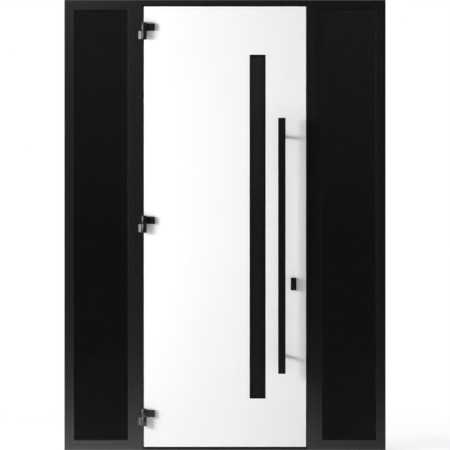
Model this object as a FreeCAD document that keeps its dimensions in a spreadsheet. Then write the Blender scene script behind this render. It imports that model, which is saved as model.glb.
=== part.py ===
# Entrance door with a fixed glazed sidelight on each side, in millimetres.
# X runs to the right as seen from outside, Y from outside to inside, Z up.
# The origin lies under the middle of the threshold, halfway through the frame's depth.
import FreeCAD, Part
import os
import Sketcher
from types import SimpleNamespace
from FreeCAD import Placement, Rotation, Vector

SIZES = {
    # The whole unit: a sidelight, the doorway and a second sidelight, side by side
    "unit_height": 2438,
    "sidelight_width": 396,
    "doorway_width": 946,
    "frame_depth": 70,
    # The section that all the frame members are cut from
    "edge_bevel": 0.3,
    "fixing_groove_width": 20,
    "fixing_groove_depth": 4,
    "inner_bevel_width": 6,
    "inner_bevel_depth": 8,
    # Sidelight frames, their beads and their double glazing
    "sidelight_stile_face": 28,
    "sidelight_rail_face": 30,
    "bead_width": 24,
    "bead_setback": 1,
    "bead_nose_radius": 0.8,
    "bead_shadow_gap": 1,
    "bead_shadow_depth": 3,
    "bead_joint_gap": 0.4,
    "glass_setback": 16,
    "gasket_thickness": 3,
    "gasket_width": 7,
    "pane_thickness": 6,
    "cavity_thickness": 16,
    "glass_edge_room": 5,
    "spacer_width": 8,
    "spacer_inset": 3,
    "setting_block_length": 100,
    # Door frame: the face beside the leaf and the stop behind it
    "jamb_face": 29,
    "stop_reach": 24.5,
    "seal_gap": 5,
    "seal_width": 8,
    "seal_margin": 2,
    "seal_clearance": 0.3,
    # Threshold
    "threshold_height": 8,
    "upstand_height": 28,
    "tread_groove_width": 3,
    "tread_groove_depth": 1,
    "tread_groove_pitch": 8,
    "tread_groove_margin": 7,
    # Leaf: two skins on a rim of stiles and rails, with an insulating core
    "leaf_gap": 5.5,
    "leaf_head_gap": 7.5,
    "leaf_bottom_gap": 10.5,
    "leaf_thickness": 52,
    "skin_thickness": 4,
    "skin_overhang": 6,
    "skin_edge_radius": 1,
    "stile_width": 95,
    "rail_width": 90,
    # Upright glass strip in the leaf
    "strip_width": 87,
    "strip_lock_side_margin": 218.5,
    "strip_end_margin": 261,
    "strip_joint": 1.5,
    "strip_liner_wall": 8,
    # Pull bars, one on each face of the leaf
    "bar_width": 40,
    "bar_thickness": 20,
    "bar_length": 1380,
    "bar_projection": 82,
    "bar_edge_bevel": 1,
    "bar_lock_side_margin": 132,
    "bar_height": 1106.5,
    "post_spacing": 1180,
    "post_diameter": 20,
    "post_foot_diameter": 28,
    "post_foot_thickness": 3,
    # Lock: a profile cylinder, a rose on each face, the edge plate and the keep
    "lock_height": 900,
    "lock_side_margin": 68,
    "rose_width": 30,
    "rose_height": 68,
    "rose_thickness": 20,
    "rose_corner_radius": 3,
    "rose_edge_bevel": 1.2,
    "rose_pad_width": 22,
    "rose_pad_height": 54,
    "rose_pad_rise": 1.5,
    "cylinder_diameter": 17,
    "cylinder_drop": 24.5,
    "cylinder_web": 10,
    "cylinder_play": 0.5,
    "cylinder_stand_out": 1,
    "keyway_width": 2,
    "keyway_height": 8,
    "keyway_drop": 5.6,
    "keyway_depth": 10,
    "edge_plate_width": 24,
    "edge_plate_length": 240,
    "edge_plate_thickness": 3,
    "edge_plate_corner": 4,
    "edge_plate_rise": 40,
    "latch_rise": 72,
    "latch_height": 30,
    "deadbolt_height": 36,
    "bolt_thickness": 13,
    "bolt_depth": 24,
    "bolt_play": 0.4,
    "keep_length": 170,
    "keep_pocket_depth": 16,
    # Barrel hinges on the outer face
    "hinge_bottom_margin": 160.5,
    "hinge_top_margin": 133,
    "barrel_radius": 15,
    "barrel_stand_off": 16,
    "knuckle_length": 43,
    "knuckle_gap": 0.6,
    "pin_radius": 6,
    "pin_play": 0.06,
    "cap_thickness": 3,
    "cap_bevel": 1,
    "arm_reach": 59,
    "arm_height": 39,
    "arm_thickness": 13,
    "arm_bevel": 2,
    "wing_reach": 29.5,
    "wing_edge": 3,
    "wing_rise": 12,
    "wing_top": 15,
}
HINGES = 3
TREAD_GROOVES = 5
# A cut that goes both ways is made this many times as long as the part is thick, so that it passes right through
CUT_THROUGH = 3
SAME_PLACE = 0.01
PARALLEL = 0.999


class Length:
    """A length in millimetres, with the words of the expression that the document keeps for it."""

    def __init__(self, number, words):
        self.number = number
        self.words = words

    def __add__(self, other):
        other = as_length(other)
        return Length(self.number + other.number, f"({self.words} + {other.words})")

    def __sub__(self, other):
        other = as_length(other)
        return Length(self.number - other.number, f"({self.words} - {other.words})")

    def __mul__(self, factor):
        return Length(self.number * factor, f"({self.words} * {factor})")

    def __truediv__(self, divisor):
        return Length(self.number / divisor, f"({self.words} / {divisor})")

    def __neg__(self):
        return Length(-self.number, f"(-1 * {self.words})")


def as_length(value):
    """A plain number as a length that no size drives."""
    return value if isinstance(value, Length) else Length(value, str(value))


ZERO = as_length(0)
doc = FreeCAD.newDocument("DoorWithSidelights")
sheet = doc.addObject("Spreadsheet::Sheet", "Sizes")
for row, (size_name, size_value) in enumerate(SIZES.items(), start=1):
    sheet.set(f"A{row}", size_name)
    sheet.set(f"B{row}", str(size_value))
    sheet.setAlias(f"B{row}", size_name)
doc.recompute()
size = SimpleNamespace(**{name: Length(value, f"Sizes.{name}") for name, value in SIZES.items()})

# Places that several pieces share
half_width = size.doorway_width / 2 + size.sidelight_width
front = size.frame_depth / -2
back = size.frame_depth / 2
sight_width = size.jamb_face + size.stop_reach
bead_depth = size.glass_setback - size.gasket_thickness
glazing_thickness = size.pane_thickness * 2 + size.cavity_thickness
lip_depth = size.glass_setback + glazing_thickness + size.gasket_thickness
stile_sight = size.sidelight_stile_face + size.bead_width
rail_sight = size.sidelight_rail_face + size.bead_width
leaf_side = size.doorway_width / 2 - size.jamb_face - size.leaf_gap
leaf_bottom = size.threshold_height + size.leaf_bottom_gap
leaf_top = size.unit_height - size.jamb_face - size.leaf_head_gap
leaf_back = front + size.leaf_thickness
stop_depth = size.leaf_thickness + size.seal_gap
core_front = front + size.skin_thickness
core_thickness = size.leaf_thickness - size.skin_thickness * 2
core_middle = core_front + core_thickness / 2
body_side = leaf_side - size.skin_overhang
body_top = leaf_top - size.skin_overhang
hinge_x = -leaf_side
hinge_y = front - size.barrel_stand_off
lock_x = leaf_side - size.lock_side_margin
bar_x = leaf_side - size.bar_lock_side_margin
strip_right = leaf_side - size.strip_lock_side_margin
strip_left = strip_right - size.strip_width
strip_bottom = leaf_bottom + size.strip_end_margin
strip_top = leaf_top - size.strip_end_margin
jamb_rebate_x = size.doorway_width / 2 - size.jamb_face


def box_loop(left, right, low, high):
    """The four corners of an upright rectangle, as one closed loop."""
    return [(left, low), (right, low), (right, high), (left, high)]


def number_of(value):
    """The plain number of a length or a number."""
    return as_length(value).number


class Piece:
    """One body and the steps that shape it. Each step is a sketch bound to the sizes and its feature."""

    def __init__(self, label):
        self.body = doc.addObject("PartDesign::Body", label)
        self.body.Label = label
        self.steps = 0

    def sketch(self, plane, loops=(), circles=(), offset=ZERO):
        """A sketch on one of the body's own planes, from loops of corners and (x, y, radius) circles."""
        self.steps += 1
        sketch = self.body.newObject("Sketcher::SketchObject", f"{self.body.Name}_sketch_{self.steps}")
        support = next(f for f in self.body.Origin.OriginFeatures if f.Role == plane)
        sketch.AttachmentSupport = [(support, "")]
        sketch.MapMode = "FlatFace"
        sketch.setExpression("AttachmentOffset.Base.z", as_length(offset).words)
        for loop in loops:
            self.draw_loop(sketch, loop)
        for x, y, radius in circles:
            self.draw_circle(sketch, as_length(x), as_length(y), as_length(radius))
        return sketch

    def draw_loop(self, sketch, loop):
        """Straight lines through the corners, each held at its two distances from the sketch's origin."""
        corners = [(as_length(x), as_length(y)) for x, y in loop]
        first = sketch.GeometryCount
        for index, (x, y) in enumerate(corners):
            next_x, next_y = corners[(index + 1) % len(corners)]
            start = Vector(x.number, y.number, 0)
            end = Vector(next_x.number, next_y.number, 0)
            sketch.addGeometry(Part.LineSegment(start, end), False)
        for index in range(len(corners)):
            following = first + (index + 1) % len(corners)
            sketch.addConstraint(Sketcher.Constraint("Coincident", first + index, 2, following, 1))
        for index, (x, y) in enumerate(corners):
            self.hold(sketch, "DistanceX", first + index, 1, x)
            self.hold(sketch, "DistanceY", first + index, 1, y)

    def draw_circle(self, sketch, x, y, radius):
        """A circle whose centre and radius are held by the sizes."""
        centre = Vector(x.number, y.number, 0)
        circle = sketch.addGeometry(Part.Circle(centre, Vector(0, 0, 1), radius.number), False)
        self.hold(sketch, "DistanceX", circle, 3, x)
        self.hold(sketch, "DistanceY", circle, 3, y)
        index = sketch.addConstraint(Sketcher.Constraint("Radius", circle, radius.number))
        sketch.setExpression(f"Constraints[{index}]", radius.words)

    def hold(self, sketch, kind, geometry, point, distance):
        """Holds a point at a signed distance from the sketch's origin, or on the axis where that is nothing."""
        if distance.words == ZERO.words:
            axis = -2 if kind == "DistanceX" else -1
            sketch.addConstraint(Sketcher.Constraint("PointOnObject", geometry, point, axis))
            return
        held = Sketcher.Constraint(kind, -1, 1, geometry, point, distance.number)
        index = sketch.addConstraint(held)
        sketch.setExpression(f"Constraints[{index}]", distance.words)

    def new_feature(self, kind):
        """A feature of this body, named after the step that it belongs to."""
        return self.body.newObject(f"PartDesign::{kind}", f"{self.body.Name}_{kind.lower()}_{self.steps}")

    def feature(self, kind, sketch, length, reverse, both_ways):
        """A pad or a pocket of a sketch."""
        feature = self.new_feature(kind)
        feature.Profile = sketch
        feature.setExpression("Length", as_length(length).words)
        feature.Reversed = reverse
        if both_ways:
            feature.SideType = "Symmetric"
        doc.recompute()
        return feature

    def pad(self, plane, length, loops=(), circles=(), offset=ZERO, reverse=False, both_ways=False):
        """Adds material along the plane's normal."""
        sketch = self.sketch(plane, loops, circles, offset)
        self.feature("Pad", sketch, length, reverse, both_ways)
        return self

    def pocket(self, plane, length, loops=(), circles=(), offset=ZERO, reverse=False, both_ways=False):
        """Takes material away, against the plane's normal unless reversed."""
        before = self.body.Shape.Volume
        sketch = self.sketch(plane, loops, circles, offset)
        self.feature("Pocket", sketch, length, reverse, both_ways)
        if self.body.Shape.Volume >= before:
            raise ValueError(f"a pocket in {self.body.Label} cuts nothing")
        return self

    def repeat(self, role, total, count):
        """Repeats the last feature along one of the body's axes, over a total distance."""
        pattern = self.body.newObject("PartDesign::LinearPattern", f"{self.body.Name}_pattern")
        pattern.Originals = [self.body.Tip]
        axis = next(f for f in self.body.Origin.OriginFeatures if f.Role == role)
        pattern.Direction = (axis, [""])
        pattern.setExpression("Length", as_length(total).words)
        pattern.Occurrences = count
        self.body.Tip = pattern
        doc.recompute()
        return self

    def dress(self, kind, property_name, amount, wanted):
        """Rounds or bevels every edge that the test picks out."""
        tip = self.body.Tip
        names = [f"Edge{i}" for i, edge in enumerate(tip.Shape.Edges, start=1) if wanted(edge)]
        feature = self.new_feature(kind)
        feature.Base = (tip, names)
        feature.setExpression(property_name, as_length(amount).words)
        doc.recompute()
        return self

    def round_edges(self, radius, wanted):
        """Rounds the wanted edges."""
        return self.dress("Fillet", "Radius", radius, wanted)

    def bevel_edges(self, amount, wanted):
        """Bevels the wanted edges."""
        return self.dress("Chamfer", "Size", amount, wanted)

    def place(self, x=ZERO, y=ZERO, z=ZERO, turn_about_y=0):
        """Puts the body in the unit, turned about the Y axis so that its outer face stays outside."""
        self.body.Placement = Placement(Vector(), Rotation(Vector(0, 1, 0), turn_about_y))
        for axis, distance in zip("xyz", (x, y, z)):
            self.body.setExpression(f"Placement.Base.{axis}", as_length(distance).words)
        doc.recompute()
        return self


def close_to(first, second):
    """Whether two plain numbers are the same place."""
    return abs(first - second) < SAME_PLACE


def along(edge, axis):
    """Whether a straight edge runs along an axis, given as 0, 1 or 2."""
    if edge.Curve.TypeId != "Part::GeomLine":
        return False
    return abs(edge.Curve.Direction[axis]) > PARALLEL


def edge_at(axis, **places):
    """A test for straight edges along an axis whose middle lies at the given places, such as x=(0, 5)."""
    wanted = {name: [number_of(value) for value in values] for name, values in places.items()}

    def test(edge):
        if not along(edge, axis):
            return False
        middle = edge.CenterOfMass
        return all(any(close_to(getattr(middle, n), v) for v in vs) for n, vs in wanted.items())

    return test


def gather(label, members):
    """Several like pieces as the solids of one node."""
    compound = doc.addObject("Part::Compound", label)
    compound.Label = label
    compound.Links = members
    return compound


def closed_solid(label, loops, thickness, y, holes=()):
    """A sheet or ring that stands upright: it is drawn from the front and thickened inwards."""
    piece = Piece(label)
    piece.pad("XZ_Plane", thickness, [*loops, *holes], reverse=True)
    return piece.place(y=y)


# Frame members

def frame_section(face, lip, lip_from):
    """Section of a member: across from its outer edge, and deep from the outer face to the inner face."""
    bevel = size.edge_bevel
    groove_start = (size.frame_depth - size.fixing_groove_width) / 2
    groove_end = (size.frame_depth + size.fixing_groove_width) / 2
    across = face + lip
    return [
        (bevel, ZERO),
        (face - bevel, ZERO),
        (face, bevel),
        (face, lip_from),
        (across, lip_from),
        (across, size.frame_depth - size.inner_bevel_depth),
        (across - size.inner_bevel_width, size.frame_depth),
        (bevel, size.frame_depth),
        (ZERO, size.frame_depth - bevel),
        (ZERO, groove_end),
        (size.fixing_groove_depth, groove_end),
        (size.fixing_groove_depth, groove_start),
        (ZERO, groove_start),
        (ZERO, bevel),
    ]


def cut_mitres(piece, across, rise, length, start=True, end=True):
    """Cuts a member's ends on the slant, so that each meets a member that is as wide as the given rise."""
    loops = []
    if start:
        loops.append([(ZERO, ZERO), (across, ZERO), (across, rise)])
    if end:
        loops.append([(ZERO, length), (across, length - rise), (across, length)])
    piece.pocket("XZ_Plane", size.frame_depth * CUT_THROUGH, loops, both_ways=True)
    return piece


def sidelight_members(side, left):
    """The four mitred members of a sidelight frame whose left edge is at the given place."""
    right = left + size.sidelight_width
    stile = (size.sidelight_stile_face, stile_sight, rail_sight, size.unit_height)
    rail = (size.sidelight_rail_face, rail_sight, stile_sight, size.sidelight_width)
    lower, upper = ("outer", "inner") if side == "left" else ("inner", "outer")
    members = [
        (f"{lower}_stile", stile, 0, left, ZERO),
        ("top_rail", rail, 90, left, size.unit_height),
        (f"{upper}_stile", stile, 180, right, size.unit_height),
        ("bottom_rail", rail, 270, right, ZERO),
    ]
    for name, (face, across, rise, length), turn, x, z in members:
        piece = Piece(f"{side}_sidelight_{name}")
        piece.pad("XY_Plane", length, [frame_section(face, size.bead_width, lip_depth)])
        cut_mitres(piece, across, rise, length)
        piece.place(x, front, z, turn)


def glazing_rebate(left):
    """The left, right, low and high edges of the opening inside a sidelight's frame members."""
    stile = size.sidelight_stile_face
    rail = size.sidelight_rail_face
    return left + stile, left + size.sidelight_width - stile, rail, size.unit_height - rail


def bead_section():
    """Section of a glazing bead: a flat face, a shadow gap beside the frame and a rounded nose by the glass."""
    width = size.bead_width
    setback = size.bead_setback
    gap = size.bead_shadow_gap
    gap_end = setback + size.bead_shadow_depth
    return [
        (ZERO, gap_end),
        (gap, gap_end),
        (gap, setback),
        (width, setback),
        (width, bead_depth),
        (ZERO, bead_depth),
    ]


def sidelight_beads(side, left):
    """Four mitred beads that hold the glazing from outside, a hair apart at the corners."""
    gap = size.bead_joint_gap / 2
    opening_left, opening_right, low, high = glazing_rebate(left)
    upright = high - low - gap * 2
    level = opening_right - opening_left - gap * 2
    beads = [
        (upright, 0, opening_left, low + gap),
        (level, 90, opening_left + gap, high),
        (upright, 180, opening_right, high - gap),
        (level, 270, opening_right - gap, low),
    ]
    members = []
    for index, (length, turn, x, z) in enumerate(beads, start=1):
        piece = Piece(f"{side}_bead_{index}")
        piece.pad("XY_Plane", length, [bead_section()])
        piece.round_edges(size.bead_nose_radius, edge_at(2, x=[size.bead_width], y=[size.bead_setback]))
        cut_mitres(piece, size.bead_width, size.bead_width, length)
        piece.place(x, front, z, turn)
        members.append(piece.body)
    gather(f"{side}_sidelight_beads", members)


def inset_box(left, right, low, high, amount):
    """A rectangle taken in, or let out where the amount is negative, by the same distance on each side."""
    return box_loop(left + amount, right - amount, low + amount, high - amount)


def sidelight_glazing(side, left):
    """Two panes with a spacer between them, a gasket on each face and blocks that carry the glass."""
    rebate = glazing_rebate(left)
    pane = inset_box(*rebate, size.glass_edge_room)
    outer_pane_y = front + size.glass_setback
    cavity_y = outer_pane_y + size.pane_thickness
    inner_pane_y = cavity_y + size.cavity_thickness
    panes = [
        closed_solid(f"{side}_outer_pane", [pane], size.pane_thickness, outer_pane_y).body,
        closed_solid(f"{side}_inner_pane", [pane], size.pane_thickness, inner_pane_y).body,
    ]
    gather(f"{side}_sidelight_glass", panes)

    spacer_edge = size.glass_edge_room + size.spacer_inset
    spacer_outside = inset_box(*rebate, spacer_edge)
    spacer_inside = inset_box(*rebate, spacer_edge + size.spacer_width)
    spacer = Piece(f"{side}_sidelight_spacer")
    spacer.pad("XZ_Plane", size.cavity_thickness, [spacer_outside, spacer_inside], reverse=True)
    spacer.place(y=cavity_y)

    gasket_inside = inset_box(*rebate, size.bead_width)
    gasket_outside = inset_box(*rebate, size.bead_width - size.gasket_width)
    gaskets = []
    gasket_places = (
        ("outer", outer_pane_y - size.gasket_thickness),
        ("inner", inner_pane_y + size.pane_thickness),
    )
    for name, y in gasket_places:
        gasket = Piece(f"{side}_{name}_gasket")
        gasket.pad("XZ_Plane", size.gasket_thickness, [gasket_outside, gasket_inside], reverse=True)
        gaskets.append(gasket.place(y=y).body)
    gather(f"{side}_sidelight_gaskets", gaskets)


def setting_blocks():
    """Two blocks under each sidelight's glass, which carry it on the bottom rail."""
    blocks = []
    for side, left in SIDELIGHTS:
        middle = left + size.sidelight_width / 2
        low = size.sidelight_rail_face
        high = low + size.glass_edge_room
        half = size.setting_block_length / 2
        loop = box_loop(middle - half, middle + half, low, high)
        block = closed_solid(f"{side}_block", [loop], glazing_thickness, front + size.glass_setback)
        blocks.append(block.body)
    gather("glass_setting_blocks", blocks)


SIDELIGHTS = (("left", -half_width), ("right", size.doorway_width / 2))
for side_name, side_left in SIDELIGHTS:
    sidelight_members(side_name, side_left)
    sidelight_beads(side_name, side_left)
    sidelight_glazing(side_name, side_left)
setting_blocks()


# Door frame

def lock_windows(y, across, clearance=ZERO, up=1):
    """Rectangles for the latch and the deadbolt, seen along X: each is thick in Y and high in Z.

    In a piece that is drawn upside down, up is -1.
    """
    half = size.bolt_thickness / 2 + clearance
    windows = []
    for rise, height in ((size.latch_rise, size.latch_height), (ZERO, size.deadbolt_height)):
        middle = across + rise * up
        low = middle - height / 2 - clearance
        high = middle + height / 2 + clearance
        windows.append(box_loop(y - half, y + half, low, high))
    return windows


def jamb(label, turn, x, z, hinge_side):
    """An upright of the door frame, square at the floor and mitred at the head."""
    section = frame_section(size.jamb_face, size.stop_reach, stop_depth)
    piece = Piece(label)
    piece.pad("XY_Plane", size.unit_height, [section])
    cut_mitres(piece, sight_width, sight_width, size.unit_height, start=not hinge_side, end=hinge_side)
    return piece.place(x, front, z, turn)


def round_plate_corners(piece, corners):
    """Rounds the four corners of an edge plate, or of the recess that it lies in."""
    (left, low), (right, _), (_, high), _ = corners
    piece.round_edges(size.edge_plate_corner, edge_at(0, y=[left, right], z=[low, high]))


def lock_jamb():
    """The upright that the door locks into, with the keep's recess and the pockets behind its windows."""
    piece = jamb("lock_jamb", 180, size.doorway_width / 2, size.unit_height, False)
    lock_down = size.unit_height - size.lock_height
    plate_half = size.keep_length / 2
    plate_middle = lock_down - size.latch_rise / 2
    depth = core_middle - front
    width = size.edge_plate_width / 2
    recess = box_loop(depth - width, depth + width, plate_middle - plate_half, plate_middle + plate_half)
    plate = size.edge_plate_thickness
    piece.pocket("YZ_Plane", plate, [recess], offset=size.jamb_face)
    round_plate_corners(piece, recess)
    pockets = lock_windows(depth, lock_down, size.bolt_play * 2, up=-1)
    piece.pocket("YZ_Plane", size.keep_pocket_depth, pockets, offset=size.jamb_face - plate)


def lock_keep():
    """The steel plate in the lock jamb, with a window for the latch and one for the deadbolt."""
    piece = Piece("lock_keep")
    middle = size.lock_height + size.latch_rise / 2
    half = size.keep_length / 2
    width = size.edge_plate_width / 2
    plate = box_loop(core_middle - width, core_middle + width, middle - half, middle + half)
    windows = lock_windows(core_middle, size.lock_height, size.bolt_play * 2)
    piece.pad("YZ_Plane", size.edge_plate_thickness, [plate, *windows], offset=jamb_rebate_x)
    round_plate_corners(piece, plate)
    piece.place()


def door_head():
    """The frame member over the leaf, mitred at both ends."""
    piece = Piece("door_head")
    section = frame_section(size.jamb_face, size.stop_reach, stop_depth)
    piece.pad("XY_Plane", size.doorway_width, [section])
    cut_mitres(piece, sight_width, sight_width, size.doorway_width)
    piece.place(-size.doorway_width / 2, front, size.unit_height, 90)


def threshold():
    """A low threshold between the jambs: a grooved tread, and an upstand that the leaf closes against."""
    piece = Piece("threshold")
    tread_end = stop_depth
    bevel = size.edge_bevel
    half = jamb_rebate_x
    section = [
        (ZERO, ZERO),
        (size.frame_depth, ZERO),
        (size.frame_depth, size.upstand_height - size.inner_bevel_depth),
        (size.frame_depth - size.inner_bevel_width, size.upstand_height),
        (tread_end + bevel, size.upstand_height),
        (tread_end, size.upstand_height - bevel),
        (tread_end, size.threshold_height),
        (bevel, size.threshold_height),
        (ZERO, size.threshold_height - bevel),
    ]
    piece.pad("YZ_Plane", half * 2, [section], both_ways=True)
    corner = size.stop_reach
    for side in (-1, 1):
        notch = box_loop(half * side, (half - corner) * side, tread_end, size.frame_depth)
        piece.pocket("XY_Plane", size.upstand_height, [notch], reverse=True)
    start = size.tread_groove_margin
    groove = box_loop(start, start + size.tread_groove_width,
                      size.threshold_height - size.tread_groove_depth, size.threshold_height)
    piece.pocket("YZ_Plane", half * 2, [groove], both_ways=True)
    piece.repeat("Y_Axis", size.tread_groove_pitch * (TREAD_GROOVES - 1), TREAD_GROOVES)
    piece.place(y=front)


def door_seal():
    """The soft seal on the stops and the upstand, which the closed leaf rests against."""
    edge = jamb_rebate_x - size.stop_reach + size.seal_margin
    top = size.unit_height - sight_width + size.seal_margin
    bottom = size.upstand_height - size.seal_margin
    width = size.seal_width
    inside = box_loop(-edge, edge, bottom, top)
    outside = box_loop(-edge - width, edge + width, bottom - width, top + width)
    piece = Piece("door_seal")
    piece.pad("XZ_Plane", size.seal_gap - size.seal_clearance, [outside, inside], reverse=True)
    piece.place(y=leaf_back + size.seal_clearance)


jamb("hinge_jamb", 0, -size.doorway_width / 2, ZERO, True)
lock_jamb()
lock_keep()
door_head()
threshold()
door_seal()


# Leaf

def cylinder_outline(play):
    """The round barrel of a profile cylinder and the web below it, with play all round."""
    barrel = (lock_x, size.lock_height, size.cylinder_diameter / 2 + play)
    half = size.cylinder_web / 2 + play
    low = size.lock_height - size.cylinder_drop - play
    return barrel, box_loop(lock_x - half, lock_x + half, low, size.lock_height)


def cylinder_hole(piece, depth):
    """Cuts the outline of the profile cylinder through a piece that is drawn from the front."""
    barrel, web = cylinder_outline(size.cylinder_play)
    piece.pocket("XZ_Plane", depth, circles=[barrel], both_ways=True)
    piece.pocket("XZ_Plane", depth, [web], both_ways=True)


def leaf_skins():
    """The two sheets that face the leaf, each with the window for the glass strip and the lock's hole."""
    strip = box_loop(strip_left, strip_right, strip_bottom, strip_top)
    outer = Piece("leaf_outer_skin")
    outline = box_loop(-leaf_side, leaf_side, leaf_bottom, leaf_top)
    outer.pad("XZ_Plane", size.skin_thickness, [outline, strip], reverse=True)
    rim_x = [-leaf_side, leaf_side]
    rim_z = [leaf_bottom, leaf_top]
    outer.round_edges(size.skin_edge_radius, lambda edge: (
        edge_at(2, x=rim_x, y=[0])(edge) or edge_at(0, y=[0], z=rim_z)(edge)))
    cylinder_hole(outer, size.leaf_thickness)
    outer.place(y=front)

    inner = Piece("leaf_inner_skin")
    outline = box_loop(-body_side, body_side, leaf_bottom, body_top)
    inner.pad("XZ_Plane", size.skin_thickness, [outline, strip], reverse=True)
    cylinder_hole(inner, size.leaf_thickness)
    inner.place(y=leaf_back - size.skin_thickness)


def leaf_rim():
    """The stiles and rails between the skins."""
    stile = size.stile_width
    rail = size.rail_width
    between = (-body_side + stile, body_side - stile)
    loops = {
        "leaf_hinge_stile": box_loop(-body_side, -body_side + stile, leaf_bottom, body_top),
        "leaf_top_rail": box_loop(*between, body_top - rail, body_top),
        "leaf_bottom_rail": box_loop(*between, leaf_bottom, leaf_bottom + rail),
    }
    for label, loop in loops.items():
        closed_solid(label, [loop], core_thickness, core_front)

    lock_stile = Piece("leaf_lock_stile")
    loop = box_loop(body_side - stile, body_side, leaf_bottom, body_top)
    lock_stile.pad("XZ_Plane", core_thickness, [loop], reverse=True)
    cylinder_hole(lock_stile, size.leaf_thickness * CUT_THROUGH)
    width = size.edge_plate_width / 2
    half = size.edge_plate_length / 2
    middle = size.lock_height + size.edge_plate_rise
    depth = core_thickness / 2
    recess = box_loop(depth - width, depth + width, middle - half, middle + half)
    lock_stile.pocket("YZ_Plane", size.edge_plate_thickness, [recess], offset=body_side)
    round_plate_corners(lock_stile, recess)
    mortises = lock_windows(depth, size.lock_height, size.bolt_play)
    plate = size.edge_plate_thickness
    lock_stile.pocket("YZ_Plane", size.bolt_depth - plate, mortises, offset=body_side - plate)
    lock_stile.place(y=core_front)


def leaf_core():
    """The insulation that fills the rim, open round the glass strip."""
    stile = size.stile_width
    rail = size.rail_width
    outline = box_loop(-body_side + stile, body_side - stile, leaf_bottom + rail, body_top - rail)
    strip = box_loop(strip_left, strip_right, strip_bottom, strip_top)
    core = Piece("leaf_core")
    core.pad("XZ_Plane", core_thickness, [outline, strip], reverse=True)
    core.place(y=core_front)


def glass_strip():
    """A pane flush with each skin, and the liner between them that lines the core's window."""
    window = (strip_left, strip_right, strip_bottom, strip_top)
    pane = inset_box(*window, size.strip_joint)
    inner_y = leaf_back - size.pane_thickness
    panes = [
        closed_solid("strip_outer_pane", [pane], size.pane_thickness, front).body,
        closed_solid("strip_inner_pane", [pane], size.pane_thickness, inner_y).body,
    ]
    gather("strip_glass", panes)
    liner = Piece("strip_liner")
    loops = [box_loop(*window), inset_box(*window, size.strip_liner_wall)]
    liner.pad("XZ_Plane", size.leaf_thickness - size.pane_thickness * 2, loops, reverse=True)
    liner.place(y=front + size.pane_thickness)


leaf_skins()
leaf_rim()
leaf_core()
glass_strip()


# Pull bars

def pull_bar(side, face_y, outwards):
    """A flat bar on two round posts. Outwards is -1 on the leaf's outer face and 1 on its inner face."""
    bar = Piece(f"{side}_pull_bar")
    low = size.bar_height - size.bar_length / 2
    half = size.bar_width / 2
    section = box_loop(-half, half, -size.bar_thickness / 2, size.bar_thickness / 2)
    bar.pad("XY_Plane", size.bar_length, [section])
    bar.bevel_edges(size.bar_edge_bevel, lambda edge: True)
    bar_middle = face_y + (size.bar_projection - size.bar_thickness / 2) * outwards
    bar.place(bar_x, bar_middle, low)

    length = size.bar_projection - size.bar_thickness
    posts = []
    for name, rise in (("lower", -size.post_spacing / 2), ("upper", size.post_spacing / 2)):
        post = Piece(f"{side}_{name}_post")
        post.pad("XZ_Plane", length, circles=[(ZERO, ZERO, size.post_diameter / 2)], reverse=outwards > 0)
        foot = size.post_foot_diameter / 2
        post.pad("XZ_Plane", size.post_foot_thickness, circles=[(ZERO, ZERO, foot)], reverse=outwards > 0)
        post.place(bar_x, face_y, size.bar_height + rise)
        posts.append(post.body)
    gather(f"{side}_bar_posts", posts)


pull_bar("outside", front, -1)
pull_bar("inside", leaf_back, 1)


# Lock

def lock_rose(side, face_y, outwards):
    """A thick oblong rose with a raised pad that has round ends, open for the profile cylinder."""
    rose = Piece(f"{side}_lock_rose")
    half = size.rose_width / 2
    reach = size.rose_height / 2
    middle = size.lock_height
    outline = box_loop(lock_x - half, lock_x + half, middle - reach, middle + reach)
    rose.pad("XZ_Plane", size.rose_thickness, [outline], reverse=outwards > 0)
    rose.round_edges(size.rose_corner_radius, lambda edge: along(edge, 1))
    outer_y = number_of(size.rose_thickness) * outwards
    rose.bevel_edges(size.rose_edge_bevel, lambda edge: close_to(edge.CenterOfMass.y, outer_y))
    end_radius = size.rose_pad_width / 2
    rise = size.rose_pad_height / 2 - end_radius
    ends = [(lock_x, middle - rise, end_radius), (lock_x, middle + rise, end_radius)]
    straight = box_loop(lock_x - end_radius, lock_x + end_radius, middle - rise, middle + rise)
    pad_height = size.rose_thickness + size.rose_pad_rise
    rose.pad("XZ_Plane", pad_height, [straight], reverse=outwards > 0)
    rose.pad("XZ_Plane", pad_height, circles=ends, reverse=outwards > 0)
    cylinder_hole(rose, size.rose_thickness * CUT_THROUGH)
    rose.place(y=face_y)


def lock_cylinder():
    """The profile cylinder that passes through both roses and the leaf, with a keyway in each end."""
    piece = Piece("lock_cylinder")
    reach = size.rose_thickness + size.rose_pad_rise + size.cylinder_stand_out
    length = size.leaf_thickness + reach * 2
    barrel, web = cylinder_outline(ZERO)
    piece.pad("XZ_Plane", length, circles=[barrel], reverse=True)
    piece.pad("XZ_Plane", length, [web], reverse=True)
    half = size.keyway_width / 2
    low = size.lock_height - size.keyway_drop
    keyway = box_loop(lock_x - half, lock_x + half, low, low + size.keyway_height)
    piece.pocket("XZ_Plane", size.keyway_depth, [keyway])
    piece.pocket("XZ_Plane", size.keyway_depth, [keyway], offset=-length, reverse=True)
    piece.place(y=front - reach)


def edge_plate():
    """The plate let into the leaf's lock edge."""
    piece = Piece("lock_edge_plate")
    half = size.edge_plate_length / 2
    width = size.edge_plate_width / 2
    middle = size.lock_height + size.edge_plate_rise
    plate = box_loop(core_middle - width, core_middle + width, middle - half, middle + half)
    windows = lock_windows(core_middle, size.lock_height, size.bolt_play)
    face = body_side - size.edge_plate_thickness
    piece.pad("YZ_Plane", size.edge_plate_thickness, [plate, *windows], offset=face)
    round_plate_corners(piece, plate)
    piece.place()


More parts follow.
